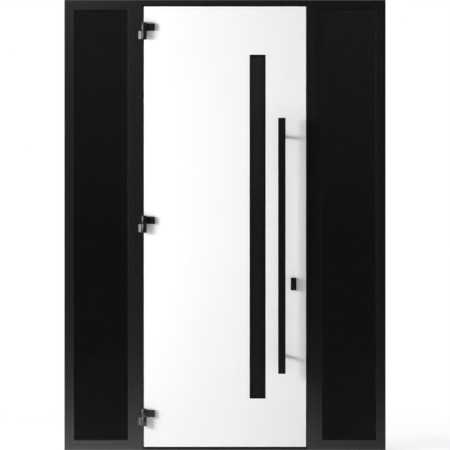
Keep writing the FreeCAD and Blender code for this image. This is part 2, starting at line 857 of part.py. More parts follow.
def lock_bolts():
    """The latch and the deadbolt, drawn back flush with the edge plate."""
    bolts = []
    names = ("latch_bolt", "dead_bolt")
    for name, window in zip(names, lock_windows(core_middle, size.lock_height)):
        bolt = Piece(name)
        bolt.pad("YZ_Plane", size.bolt_depth, [window], offset=body_side - size.bolt_depth)
        bolts.append(bolt.place().body)
    gather("lock_bolts", bolts)


lock_rose("outside", front, -1)
lock_rose("inside", leaf_back, 1)
lock_cylinder()
edge_plate()
lock_bolts()


# Hinges

def frame_knuckle(index, z):
    """The lower knuckle of a hinge, with the sloping wing that fastens it to the jamb."""
    piece = Piece(f"frame_knuckle_{index}")
    length = size.knuckle_length
    face = size.barrel_stand_off
    wing = [
        (-size.wing_reach, face),
        (-size.wing_reach, face - size.wing_edge),
        (-size.wing_top, face - size.wing_rise),
        (-size.leaf_gap, face - size.wing_rise),
        (-size.leaf_gap, face),
    ]
    piece.pad("XY_Plane", length, circles=[(ZERO, ZERO, size.barrel_radius)])
    piece.pad("XY_Plane", length, [wing])
    piece.pocket("XY_Plane", length, circles=[(ZERO, ZERO, size.pin_radius + size.pin_play)], reverse=True)
    piece.place(hinge_x, hinge_y, z - size.knuckle_gap / 2 - length)
    return piece.body


def leaf_knuckle(index, z):
    """The upper knuckle of a hinge, with the flat arm that fastens it to the leaf."""
    piece = Piece(f"leaf_knuckle_{index}")
    length = size.knuckle_length
    face = size.barrel_stand_off
    bevel = size.arm_bevel
    arm_top = face - size.arm_thickness
    arm = [
        (ZERO, face),
        (size.arm_reach, face),
        (size.arm_reach, arm_top + bevel),
        (size.arm_reach - bevel, arm_top),
        (ZERO, arm_top),
    ]
    piece.pad("XY_Plane", length, circles=[(ZERO, ZERO, size.barrel_radius)])
    piece.pad("XY_Plane", size.arm_height, [arm])
    piece.pocket("XY_Plane", length, circles=[(ZERO, ZERO, size.pin_radius + size.pin_play)], reverse=True)
    piece.place(hinge_x, hinge_y, z + size.knuckle_gap / 2)
    return piece.body


def hinge_pin(index, z):
    """The pin through both knuckles, with a bevelled cap at each end."""
    piece = Piece(f"hinge_pin_{index}")
    span = size.knuckle_length * 2 + size.knuckle_gap
    gap = size.knuckle_gap
    piece.pad("XY_Plane", span + gap, circles=[(ZERO, ZERO, size.pin_radius)])
    cap = [(ZERO, ZERO, size.barrel_radius)]
    piece.pad("XY_Plane", size.cap_thickness, circles=cap, offset=span + gap)
    piece.pad("XY_Plane", size.cap_thickness, circles=cap, reverse=True)
    ends = (-size.cap_thickness.number, (span + gap + size.cap_thickness).number)
    piece.bevel_edges(size.cap_bevel, lambda edge: any(
        close_to(edge.CenterOfMass.z, end) and edge.Curve.TypeId == "Part::GeomCircle" for end in ends))
    piece.place(hinge_x, hinge_y, z - span / 2)
    return piece.body


frame_knuckles = []
leaf_knuckles = []
pins = []
lowest_hinge = leaf_bottom + size.hinge_bottom_margin
hinge_spacing = (leaf_top - size.hinge_top_margin - lowest_hinge) / (HINGES - 1)
for number in range(HINGES):
    hinge_z = lowest_hinge + hinge_spacing * number
    frame_knuckles.append(frame_knuckle(number + 1, hinge_z))
    leaf_knuckles.append(leaf_knuckle(number + 1, hinge_z))
    pins.append(hinge_pin(number + 1, hinge_z))
gather("hinge_frame_knuckles", frame_knuckles)
gather("hinge_leaf_knuckles", leaf_knuckles)
gather("hinge_pins", pins)


# Check and write

def is_node(thing):
    """Whether an object is a sub-part of its own, and not a member of a gathered node or a helper."""
    if thing.TypeId not in ("PartDesign::Body", "Part::Compound"):
        return False
    return not any(owner.TypeId == "Part::Compound" for owner in thing.InList)


doc.recompute()
for thing in doc.Objects:
    if "Invalid" in thing.State or "Error" in thing.State:
        raise ValueError(f"{thing.Name} is not built: {thing.State}")
nodes = [thing for thing in doc.Objects if is_node(thing)]
for node in nodes:
    if node.Shape.isNull() or not node.Shape.isValid() or not node.Shape.Solids:
        raise ValueError(f"{node.Label} has no valid solid")
os.makedirs("parts", exist_ok=True)
for node in nodes:
    node.Shape.exportStep(f"parts/{node.Label}.step")
print(f"{len(nodes)} nodes written")
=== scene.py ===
"""An entrance door with a fixed sidelight on each side: finishes, seals, fixings and a plain studio."""

import logging
import math
from collections.abc import Iterable, Sequence
from dataclasses import dataclass, field
from enum import Enum

import bpy
from mathutils import Matrix, Vector


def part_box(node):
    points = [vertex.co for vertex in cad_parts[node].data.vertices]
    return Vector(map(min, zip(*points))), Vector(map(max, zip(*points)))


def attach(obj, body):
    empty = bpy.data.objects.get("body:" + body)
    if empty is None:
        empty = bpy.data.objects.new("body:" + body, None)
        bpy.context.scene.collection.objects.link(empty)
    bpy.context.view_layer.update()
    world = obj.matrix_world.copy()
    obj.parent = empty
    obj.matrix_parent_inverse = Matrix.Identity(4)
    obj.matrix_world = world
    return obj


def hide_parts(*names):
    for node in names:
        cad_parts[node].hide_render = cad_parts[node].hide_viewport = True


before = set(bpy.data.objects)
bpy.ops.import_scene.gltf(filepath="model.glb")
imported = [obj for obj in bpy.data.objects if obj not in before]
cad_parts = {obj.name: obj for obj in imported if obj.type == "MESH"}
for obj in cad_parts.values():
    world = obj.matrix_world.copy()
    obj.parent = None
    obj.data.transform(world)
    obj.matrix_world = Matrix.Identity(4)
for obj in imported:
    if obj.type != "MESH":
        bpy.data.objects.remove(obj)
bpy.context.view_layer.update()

log = logging.getLogger("door_with_sidelights")
MM = 0.001
NOISE_SPAN = (0.3, 0.7)
WELD_REACH = 0.01 * MM
SQUARE_EDGE = math.radians(60)
SOFT_EDGE_STEPS = 2
WINDOW_CORNERS = 4
UPRIGHT = math.radians(90)
UNDER_WHITE = 0.82
Point = tuple[float, float, float]
Spot = tuple[float, float]
Span = tuple[float, float]
Colour = tuple[float, float, float]
Socket = bpy.types.NodeSocket
Feed = Socket | float | tuple


class Body(Enum):
    """The two rigid bodies of the unit."""

    FRAME = "frame"
    LEAF = "door_leaf"


class Slot(Enum):
    """The record's material slots."""

    FRAME = "frame_black"
    FITTING = "fitting_black"
    LEAF = "leaf_white"
    GLASS = "tinted_glass"
    RUBBER = "seal_rubber"
    SPACER = "spacer_black"
    CORE = "core_foam"
    RIM = "rim_composite"
    STEEL = "satin_steel"


class Side(Enum):
    """Left or right of the doorway, as seen from outside."""

    LEFT = "left"
    RIGHT = "right"


class Face(Enum):
    """A face of the leaf, and the way along Y that leads out of it."""

    OUTSIDE = -1
    INSIDE = 1

    @property
    def word(self) -> str:
        """The word that this face has in the names of its nodes."""
        return self.name.lower()


class Axis(Enum):
    """A direction that a turned piece looks in."""

    LEFT = (-1, 0, 0)
    RIGHT = (1, 0, 0)
    OUT = (0, -1, 0)
    IN = (0, 1, 0)
    UP = (0, 0, 1)
    DOWN = (0, 0, -1)

    @property
    def turn(self) -> Matrix:
        """The rotation that takes the upward direction to this one."""
        return Vector(self.value).to_track_quat("Z", "Y").to_matrix().to_4x4()


# Shaders

@dataclass(frozen=True)
class Pattern:
    """Smooth noise in a piece's own space.

    It has so many lumps to a metre, so many finer layers of detail, and factors on its three coordinates. A
    factor under 1 draws the lumps out along that axis.
    """

    per_metre: float
    detail: float = 2.0
    stretch: Point = (1, 1, 1)


@dataclass(frozen=True)
class Fade:
    """A change from one number to another while a value crosses a span, with soft ends or straight."""

    span: Span
    numbers: Span
    soft: bool = True


class NodeSet:
    """A node tree with short calls for what the finishes and the studio use."""

    def __init__(self, tree: bpy.types.NodeTree) -> None:
        """Takes over a tree.

        Args:
            tree: the nodes of a material or of the world.
        """
        self.tree = tree

    def add(self, kind: str, feeds: dict[str | int, Feed] | None = None, **options: str) -> bpy.types.Node:
        """Adds a node.

        Args:
            kind: the node's type.
            feeds: what each of its sockets gets, another node's output or a plain value.
            options: the node's own options.

        Returns:
            The new node.
        """
        node = self.tree.nodes.new(kind)
        for name, value in options.items():
            setattr(node, name, value)
        for socket, value in (feeds or {}).items():
            if isinstance(value, Socket):
                self.tree.links.new(value, node.inputs[socket])
            else:
                node.inputs[socket].default_value = value
        return node

    def faded(self, value: Socket, fade: Fade) -> Socket:
        """Puts a value through a fade.

        Args:
            value: the value that is read.
            fade: the change that it drives.

        Returns:
            The number that the fade gives.
        """
        low, high = fade.span
        first, last = fade.numbers
        feeds = {"Value": value, "From Min": low, "From Max": high, "To Min": first, "To Max": last}
        style = "SMOOTHSTEP" if fade.soft else "LINEAR"
        return self.add("ShaderNodeMapRange", feeds, interpolation_type=style).outputs["Result"]

    def mixed(self, factor: Socket, first: Socket, second: Socket) -> Socket:
        """Goes from the first number to the second while the factor goes from nothing to one."""
        return self.add("ShaderNodeMix", {"Factor": factor, "A": first, "B": second}).outputs["Result"]

    def combined(self, operation: str, first: Socket, second: Socket) -> Socket:
        """The outcome of one sum, such as MULTIPLY or MINIMUM, of two values."""
        return self.add("ShaderNodeMath", {0: first, 1: second}, operation=operation).outputs["Value"]

    def opposite(self, flag: Socket) -> Socket:
        """One where the flag is nothing, and nothing where it is one."""
        return self.faded(flag, Fade((0.0, 1.0), (1.0, 0.0), soft=False))

    def split(self, vector: Socket) -> tuple[Socket, Socket, Socket]:
        """The three coordinates of a vector."""
        outputs = self.add("ShaderNodeSeparateXYZ", {"Vector": vector}).outputs
        return outputs["X"], outputs["Y"], outputs["Z"]

    def ray(self, kind: str) -> Socket:
        """One for rays of a kind, such as Is Camera Ray, and nothing for all others."""
        return self.add("ShaderNodeLightPath").outputs[kind]


class Shader(NodeSet):
    """A material's nodes, with one principled surface."""

    def __init__(self, name: str) -> None:
        """Starts a material.

        Args:
            name: the material's name.
        """
        self.material = bpy.data.materials.new(name)
        self.material.use_nodes = True
        super().__init__(self.material.node_tree)
        self.surface = self.tree.nodes["Principled BSDF"]
        self.place = self.add("ShaderNodeTexCoord").outputs["Object"]

    def set(self, **values: float | tuple) -> None:
        """Sets the surface's own sockets, named with underscores for spaces."""
        for name, value in values.items():
            self.surface.inputs[name.replace("_", " ")].default_value = value

    def link(self, source: Socket, target: str) -> None:
        """Feeds one of the surface's sockets."""
        self.tree.links.new(source, self.surface.inputs[target])

    def stretched(self, factors: Point) -> Socket:
        """The place on the piece, with its three coordinates multiplied by factors."""
        return self.add("ShaderNodeMapping", {"Vector": self.place, "Scale": factors}).outputs["Vector"]

    def distance(self, factors: Point = (1, 1, 1)) -> Socket:
        """How far a place is from the origin, once its coordinates are multiplied by factors."""
        node = self.add("ShaderNodeVectorMath", {0: self.stretched(factors)}, operation="LENGTH")
        return node.outputs["Value"]

    def noise(self, pattern: Pattern) -> Socket:
        """Lays a pattern on the piece.

        Args:
            pattern: the size, detail and stretch of its lumps.

        Returns:
            The pattern's value at each place, about 0.5 on average.
        """
        place = self.stretched(pattern.stretch)
        feeds = {"Vector": place, "Scale": pattern.per_metre, "Detail": pattern.detail}
        return self.add("ShaderNodeTexNoise", feeds).outputs["Fac"]

    def colour_by(self, noise: Socket, colour: Colour, tones: Span) -> None:
        """Lets noise choose how dark the surface's colour is.

        Args:
            noise: the value that chooses.
            colour: the plain colour.
            tones: the factors on it where the noise is low and where it is high.
        """
        dark, light = ((*(channel * tone for channel in colour), 1) for tone in tones)
        share = self.faded(noise, Fade(NOISE_SPAN, (0.0, 1.0), soft=False))
        mix = self.add("ShaderNodeMix", {"Factor": share, "A": dark, "B": light}, data_type="RGBA")
        self.link(mix.outputs["Result"], "Base Color")

    def roughen_by(self, noise: Socket, roughness: Span) -> None:
        """Lets noise choose between the least and the most roughness."""
        self.link(self.faded(noise, Fade(NOISE_SPAN, roughness, soft=False)), "Roughness")

    def relief(self, *layers: tuple[Socket, float]) -> None:
        """Raises the surface by patterns, each laid on the one before.

        Args:
            layers: the height's value and its full depth in metres, for each pattern.
        """
        under: dict[str, Socket] = {}
        for height, depth in layers:
            bump = self.add("ShaderNodeBump", {"Height": height, "Distance": depth, **under})
            under = {"Normal": bump.outputs["Normal"]}
        self.link(under["Normal"], "Normal")

    def glowing(self, share: Socket, strength: Socket, under: Socket) -> Socket:
        """A surface that partly gives way to a plain white glow.

        Args:
            share: how much of it glows, from nothing to one.
            strength: how bright the glow is.
            under: the surface itself.

        Returns:
            The mixed surface.
        """
        glow = self.add("ShaderNodeEmission", {"Strength": strength}).outputs["Emission"]
        return self.add("ShaderNodeMixShader", {"Fac": share, 1: under, 2: glow}).outputs["Shader"]

    def show(self, surface: Socket) -> None:
        """Makes a surface the one that the material shows."""
        self.tree.links.new(surface, self.tree.nodes["Material Output"].inputs["Surface"])


# Finishes

@dataclass(frozen=True, kw_only=True)
class Finish:
    """What every finish has: its name, its slot and its plain colour."""

    label: str
    slot: Slot
    colour: Colour

    def material(self) -> bpy.types.Material:
        """The material, made once and then shared.

        Returns:
            The material of this finish.
        """
        name = f"{self.slot.value}_{self.label}"
        found = bpy.data.materials.get(name)
        if found is None:
            shader = Shader(name)
            self.paint(shader)
            found = shader.material
        return found

    def paint(self, shader: Shader) -> None:
        """Adds this finish's nodes to a new shader."""
        raise NotImplementedError


@dataclass(frozen=True, kw_only=True)
class PowderCoat(Finish):
    """Baked powder paint: a fine pebbled skin, a little uneven in gloss."""

    roughness: Span
    reflection: float
    pebbles: Pattern
    pebble_depth: float
    clouds: Pattern = Pattern(3.0, 3.0)
    grain: Pattern = Pattern(60.0)
    tones: Span = (0.9, 1.1)

    def paint(self, shader: Shader) -> None:
        """Pebbles, a slow drift in the gloss, and a faint drift in the black.

        Args:
            shader: the new material's nodes.
        """
        shader.colour_by(shader.noise(self.clouds), self.colour, self.tones)
        shader.roughen_by(shader.noise(self.grain), self.roughness)
        shader.relief((shader.noise(self.pebbles), self.pebble_depth))
        shader.set(Specular_IOR_Level=self.reflection)


@dataclass(frozen=True, kw_only=True)
class SprayedPaint(Finish):
    """Smooth sprayed paint on sheet metal, with the faint orange peel of a sprayed door."""

    roughness: Span
    clouds: Pattern = Pattern(2.0)
    grain: Pattern = Pattern(25.0)
    waves: Pattern = Pattern(4.0, 1.0)
    peel: Pattern = Pattern(420.0, 1.5)
    tones: Span = (0.985, 1.0)
    wave_depth: float = 0.4 * MM
    peel_depth: float = 0.03 * MM
    coat: float = 0.15
    coat_roughness: float = 0.2

    def paint(self, shader: Shader) -> None:
        """Orange peel over a very slight waviness of the sheet, under a thin clear coat.

        Args:
            shader: the new material's nodes.
        """
        shader.colour_by(shader.noise(self.clouds), self.colour, self.tones)
        shader.roughen_by(shader.noise(self.grain), self.roughness)
        waves = (shader.noise(self.waves), self.wave_depth)
        shader.relief(waves, (shader.noise(self.peel), self.peel_depth))
        shader.set(Coat_Weight=self.coat, Coat_Roughness=self.coat_roughness)


@dataclass(frozen=True, kw_only=True)
class TintedGlass(Finish):
    """Dark tinted float glass, polished, with the slow ripple that the float leaves."""

    reflection: float
    refraction: float = 1.5
    haze: Span = (0.0, 0.012)
    bands: Pattern = Pattern(5.0, 0.0, (1, 1, 0.3))
    ripple: Pattern = Pattern(2.5, 0.0, (1, 1, 0.25))
    ripple_depth: float = 0.2 * MM

    def paint(self, shader: Shader) -> None:
        """A dark tint that light passes through, a trace of haze in soft bands, and a long ripple.

        Args:
            shader: the new material's nodes.
        """
        shader.set(Base_Color=(*self.colour, 1), Transmission_Weight=1.0, IOR=self.refraction)
        shader.set(Specular_Tint=(self.reflection, self.reflection, self.reflection, 1))
        shader.roughen_by(shader.noise(self.bands), self.haze)
        shader.relief((shader.noise(self.ripple), self.ripple_depth))


@dataclass(frozen=True, kw_only=True)
class MattRubber(Finish):
    """Extruded black rubber, matt, with a fine skin and a trace of grey bloom."""

    tones: Span = (1.0, 1.6)
    roughness: Span = (0.62, 0.78)
    bloom: Pattern = Pattern(30.0, 4.0)
    skin: Pattern = Pattern(1500.0)
    skin_depth: float = 0.04 * MM

    def paint(self, shader: Shader) -> None:
        """A fine skin, with bloom in patches that are also a little rougher.

        Args:
            shader: the new material's nodes.
        """
        bloom = shader.noise(self.bloom)
        shader.colour_by(bloom, self.colour, self.tones)
        shader.roughen_by(bloom, self.roughness)
        shader.relief((shader.noise(self.skin), self.skin_depth))


@dataclass(frozen=True, kw_only=True)
class LinedSurface(Finish):
    """A surface with fine lines along its height, such as brushed metal or painted timber."""

    tones: Span
    roughness: Span
    lines: Pattern
    line_depth: float
    metal: float = 0.0

    def paint(self, shader: Shader) -> None:
        """Lines that change colour, gloss and height together.

        Args:
            shader: the new material's nodes.
        """
        lines = shader.noise(self.lines)
        shader.colour_by(lines, self.colour, self.tones)
        shader.roughen_by(lines, self.roughness)
        shader.relief((lines, self.line_depth))
        shader.set(Metallic=self.metal)


@dataclass(frozen=True, kw_only=True)
class RigidFoam(Finish):
    """Cut insulating foam with small open cells."""

    tones: Span = (0.7, 1.0)
    roughness: float = 0.9
    cells: Pattern = Pattern(900.0)
    cell_depth: float = 0.6 * MM

    def paint(self, shader: Shader) -> None:
        """Cells as a fine pitted surface.

        Args:
            shader: the new material's nodes.
        """
        cells = shader.noise(self.cells)
        shader.colour_by(cells, self.colour, self.tones)
        shader.relief((cells, self.cell_depth))
        shader.set(Roughness=self.roughness)


@dataclass(frozen=True, kw_only=True)
class MattPlastic(Finish):
    """Moulded or extruded black plastic with a fine spark-eroded grain."""

    tones: Span = (0.85, 1.15)
    roughness: Span = (0.55, 0.65)
    grain: Pattern = Pattern(1800.0)
    grain_depth: float = 0.03 * MM

    def paint(self, shader: Shader) -> None:
        """A fine moulded grain.

        Args:
            shader: the new material's nodes.
        """
        grain = shader.noise(self.grain)
        shader.colour_by(grain, self.colour, self.tones)
        shader.roughen_by(grain, self.roughness)
        shader.relief((grain, self.grain_depth))


FRAME_BLACK = PowderCoat(
    label="frame",
    slot=Slot.FRAME,
    colour=(0.0015, 0.0015, 0.0016),
    roughness=(0.442, 0.458),
    reflection=0.48,
    pebbles=Pattern(1400.0, 1.5),
    pebble_depth=0.004 * MM,
)
FITTING_BLACK = PowderCoat(
    label="satin",
    slot=Slot.FITTING,
    colour=(0.003, 0.003, 0.0031),
    roughness=(0.372, 0.388),
    reflection=0.45,
    pebbles=Pattern(2200.0, 1.5),
    pebble_depth=0.003 * MM,
)
HINGE_BLACK = PowderCoat(
    label="hinge",
    slot=Slot.FITTING,
    colour=(0.003, 0.003, 0.0031),
    roughness=(0.412, 0.428),
    reflection=0.46,
    pebbles=Pattern(2200.0, 1.5),
    pebble_depth=0.006 * MM,
)
LEAF_WHITE = SprayedPaint(label="skins", slot=Slot.LEAF, colour=(0.86, 0.86, 0.86), roughness=(0.38, 0.46))
GLASS = TintedGlass(label="sidelights", slot=Slot.GLASS, colour=(0.088, 0.088, 0.09), reflection=0.2)
STRIP_GLASS = TintedGlass(label="strip", slot=Slot.GLASS, colour=(0.118, 0.118, 0.12), reflection=0.2)
RUBBER = MattRubber(label="seals", slot=Slot.RUBBER, colour=(0.012, 0.012, 0.012))
STEEL = LinedSurface(
    label="brushed",
    slot=Slot.STEEL,
    colour=(0.56, 0.56, 0.55),
    tones=(0.9, 1.08),
    roughness=(0.26, 0.42),
    lines=Pattern(2600.0, 2.0, (1, 1, 0.015)),
    line_depth=0.01 * MM,
    metal=1.0,
)
RIM = LinedSurface(
    label="rim",
    slot=Slot.RIM,
    colour=(0.78, 0.78, 0.77),
    tones=(0.94, 1.0),
    roughness=(0.42, 0.5),
    lines=Pattern(160.0, 3.0, (1, 1, 0.02)),
    line_depth=0.08 * MM,
)
FOAM = RigidFoam(label="core", slot=Slot.CORE, colour=(0.75, 0.7, 0.55))
SPACER = MattPlastic(label="plain", slot=Slot.SPACER, colour=(0.018, 0.018, 0.018))


# Shapes

@dataclass
class Mesh:
    """Corners and faces that are gathered before they become one piece."""

    corners: list[Vector] = field(default_factory=list)
    faces: list[list[int]] = field(default_factory=list)

    def add(self, other: "Mesh", move: Matrix | None = None) -> "Mesh":
        """Adds another mesh, moved into place.

        Args:
            other: what is added.
            move: where it goes, or nothing to leave it as it is.

        Returns:
            This mesh.
        """
        start = len(self.corners)
        self.corners += [move @ corner if move else corner.copy() for corner in other.corners]
        self.faces += [[start + index for index in face] for face in other.faces]
        return self

    def piece(self, name: str, body: Body, finish: Finish, smooth_under: float = 35.0) -> bpy.types.Object:
        """Makes the mesh a piece of the unit.

        Args:
            name: the piece's name.
            body: the body that it rides on.
            finish: what it is made of.
            smooth_under: edges that turn less than this many degrees are shaded smooth.

        Returns:
            The new piece.
        """
        data = bpy.data.meshes.new(name)
        data.from_pydata([tuple(corner) for corner in self.corners], [], self.faces)
        data.validate()
        data.shade_smooth()
        data.set_sharp_from_angle(angle=math.radians(smooth_under))
        data.materials.append(finish.material())
        made = bpy.data.objects.new(name, data)
        bpy.context.scene.collection.objects.link(made)
        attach(made, body.value)
        return made


def flat_reach(radius: float, sides: int, angle: float) -> float:
    """How far from its middle the edge of a regular polygon lies.

    Args:
        radius: the distance to its corners.
        sides: how many sides it has.
        angle: the direction, from one of its corners.

    Returns:
        The distance to the edge in that direction.
    """
    sector = math.tau / sides
    return radius * math.cos(sector / 2) / math.cos(angle % sector - sector / 2)


def turned(outline: Sequence[Spot], segments: int, flats: dict[int, int] | None = None) -> Mesh:
    """Turns an outline round the upward axis.

    Args:
        outline: radius and height of each ring; a radius of nothing closes the shape.
        segments: corners to a ring, a multiple of every polygon's sides.
        flats: which rings are polygons instead of circles, and how many sides each has.

    Returns:
        The closed mesh.
    """
    mesh = Mesh()
    rings: list[list[int]] = []
    for index, (radius, height) in enumerate(outline):
        start = len(mesh.corners)
        if radius == 0:
            mesh.corners.append(Vector((0, 0, height)))
        else:
            sides = (flats or {}).get(index)
            for step in range(segments):
                angle = math.tau * step / segments
                reach = flat_reach(radius, sides, angle) if sides else radius
                mesh.corners.append(Vector((reach * math.cos(angle), reach * math.sin(angle), height)))
        rings.append(list(range(start, len(mesh.corners))))
    for lower, upper in zip(rings, rings[1:]):
        for step in range(segments):
            following = (step + 1) % segments
            corners = [lower[step % len(lower)], lower[following % len(lower)]]
            corners += [upper[following % len(upper)], upper[step % len(upper)]]
            mesh.faces.append(list(dict.fromkeys(corners)))
    return mesh


@dataclass(frozen=True)
class ScrewHead:
    """A countersunk screw's head with a six-sided socket.

    Its sizes are shares of its radius. The two rises are shares of how far it stands proud, and the flare
    of the socket is a factor on the socket.
    """

    radius: float
    proud: float = 0.15 * MM
    neck: float = 0.6
    depth: float = 0.5
    edge: float = 0.97
    edge_rise: float = 0.3
    face: float = 0.93
    socket: float = 0.48
    socket_flare: float = 1.12
    socket_rise: float = 0.5
    socket_depth: float = 0.35
    drill_depth: float = 0.42
    socket_sides: int = 6
    segments: int = 24

    def mesh(self) -> Mesh:
        """The head, looking up, with the surface that it stands proud of at height nothing.

        Returns:
            The closed mesh.
        """
        outside = [
            (0, -self.radius * self.depth),
            (self.radius * self.neck, -self.radius * self.depth),
            (self.radius * self.edge, self.proud * self.edge_rise),
            (self.radius * self.face, self.proud),
            (self.radius * self.socket * self.socket_flare, self.proud),
        ]
        socket = [
            (self.radius * self.socket, self.proud * self.socket_rise),
            (self.radius * self.socket, -self.radius * self.socket_depth),
        ]
        flats = {len(outside) + index: self.socket_sides for index in range(len(socket))}
        return turned([*outside, *socket, (0, -self.radius * self.drill_depth)], self.segments, flats)


@dataclass(frozen=True)
class CoverCap:
    """A pressed-in cover cap with a low dome and a thin rim.

    Its points are given as shares of its radius and of its height.
    """

    radius: float
    height: float
    stem: Spot = (0.8, -2.0)
    rim_outside: Spot = (0.96, 0.45)
    rim_inside: Spot = (0.86, 0.55)
    groove: Spot = (0.82, 0.4)
    shoulder: Spot = (0.7, 0.8)
    crown: Spot = (0.35, 0.97)
    segments: int = 36

    def mesh(self) -> Mesh:
        """The cap, looking up, with the surface that it covers at height nothing.

        Returns:
            The closed mesh.
        """
        stem = [(0, self.stem[1]), self.stem]
        dome = [self.rim_outside, self.rim_inside, self.groove, self.shoulder, self.crown]
        shares = [*stem, (1, 0), *dome, (0, 1)]
        return turned([(self.radius * out, self.height * up) for out, up in shares], self.segments)


@dataclass(frozen=True)
class Window:
    """An upright rectangle in the unit, seen from outside."""

    left: float
    right: float
    low: float
    high: float

    @classmethod
    def of(cls, node: str) -> "Window":
        """The rectangle that a node's box covers."""
        low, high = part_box(node)
        return cls(low.x, high.x, low.z, high.z)

    def inset(self, amount: float) -> "Window":
        """The rectangle taken in on all sides, or let out where the amount is negative."""
        return Window(self.left + amount, self.right - amount, self.low + amount, self.high - amount)

    def corners(self) -> list[Spot]:
        """The rectangle's corners, from the lower left one anticlockwise."""
        lower = [(self.left, self.low), (self.right, self.low)]
        return [*lower, (self.right, self.high), (self.left, self.high)]

    def ring(self, profile: Sequence[Spot], depth: float) -> Mesh:
        """Runs a profile round the rectangle, mitred at its corners.

        Args:
            profile: how far out from the rectangle and how far along Y each of its points lies.
            depth: where along Y the profile starts.

        Returns:
            The closed ring.
        """
        mesh = Mesh()
        for out, along in profile:
            mesh.corners += [Vector((x, depth + along, z)) for x, z in self.inset(-out).corners()]
        count = len(profile)
        for step in range(count):
            near = step * WINDOW_CORNERS
            far = (step + 1) % count * WINDOW_CORNERS
            for corner in range(WINDOW_CORNERS):
                beside = (corner + 1) % WINDOW_CORNERS
                mesh.faces.append([near + corner, near + beside, far + beside, far + corner])
        return mesh


def arc(centre: Spot, radius: float, start: float, end: float, steps: int) -> list[Spot]:
    """Points along an arc, with its angles in degrees."""
    angles = [math.radians(start + (end - start) * step / steps) for step in range(steps + 1)]
    return [(centre[0] + radius * math.cos(a), centre[1] + radius * math.sin(a)) for a in angles]


def scattered(shape: Mesh, places: Iterable[Point], axis: Axis) -> Mesh:
    """The same small shape at several places.

    Args:
        shape: the shape, looking up.
        places: where its own origin goes.
        axis: the direction that it looks in there.

    Returns:
        All of them in one mesh.
    """
    gathered = Mesh()
    for place in places:
        gathered.add(shape, Matrix.Translation(place) @ axis.turn)
    return gathered


def plate_screws(node: str, screw: ScrewHead, margin: float, axis: Axis) -> Mesh:
    """A countersunk screw near each end of an upright plate.

    Args:
        node: the plate.
        screw: the screw's head.
        margin: how far the screws lie from the plate's ends.
        axis: the side that the plate shows, left or right.

    Returns:
        Both screws in one mesh.
    """
    low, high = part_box(node)
    face = high.x if axis is Axis.RIGHT else low.x
    middle = (low.y + high.y) / 2
    places = [(face, middle, low.z + margin), (face, middle, high.z - margin)]
    return scattered(screw.mesh(), places, axis)


# Sub-assemblies

@dataclass
class SubAssembly:
    """Pieces that belong together: nodes of the frame that get a finish, and new meshes."""

    pieces: list[bpy.types.Object] = field(default_factory=list, init=False, repr=False)

    def dress(self, nodes: Iterable[str], finish: Finish, softness: float = 0.0) -> None:
        """Gives nodes of the frame their finish and takes the sharpness off their square edges.

        Args:
            nodes: the nodes' names.
            finish: what they are made of.
            softness: how far a softened edge reaches on each face, or nothing to leave them as they are.
        """
        for node in nodes:
            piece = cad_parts[node]
            for slot in piece.material_slots:
                slot.material = finish.material()
            if softness:
                self.soften(piece, softness)
            self.pieces.append(piece)

    def soften(self, piece: bpy.types.Object, width: float) -> None:
        """Rounds a piece's square edges a little, as cutting and coating do.

        Args:
            piece: the piece.
            width: how far the softened edge reaches on each face.
        """
        weld = piece.modifiers.new("joined_faces", "WELD")
        weld.merge_threshold = WELD_REACH
        bevel = piece.modifiers.new("soft_edges", "BEVEL")
        bevel.width = width
        bevel.segments = SOFT_EDGE_STEPS
        bevel.limit_method = "ANGLE"
        bevel.angle_limit = SQUARE_EDGE
        bevel.harden_normals = True

    def add(self, mesh: Mesh, name: str, body: Body, finish: Finish) -> bpy.types.Object:
        """Makes a mesh one of this sub-assembly's pieces.

        Args:
            mesh: the piece's shape.
            name: its name.
            body: the body that it rides on.
            finish: what it is made of.

        Returns:
            The new piece.
        """
        made = mesh.piece(name, body, finish)
        self.pieces.append(made)
        return made

    def build(self) -> None:
        """Dresses the nodes and adds the new pieces."""
        raise NotImplementedError


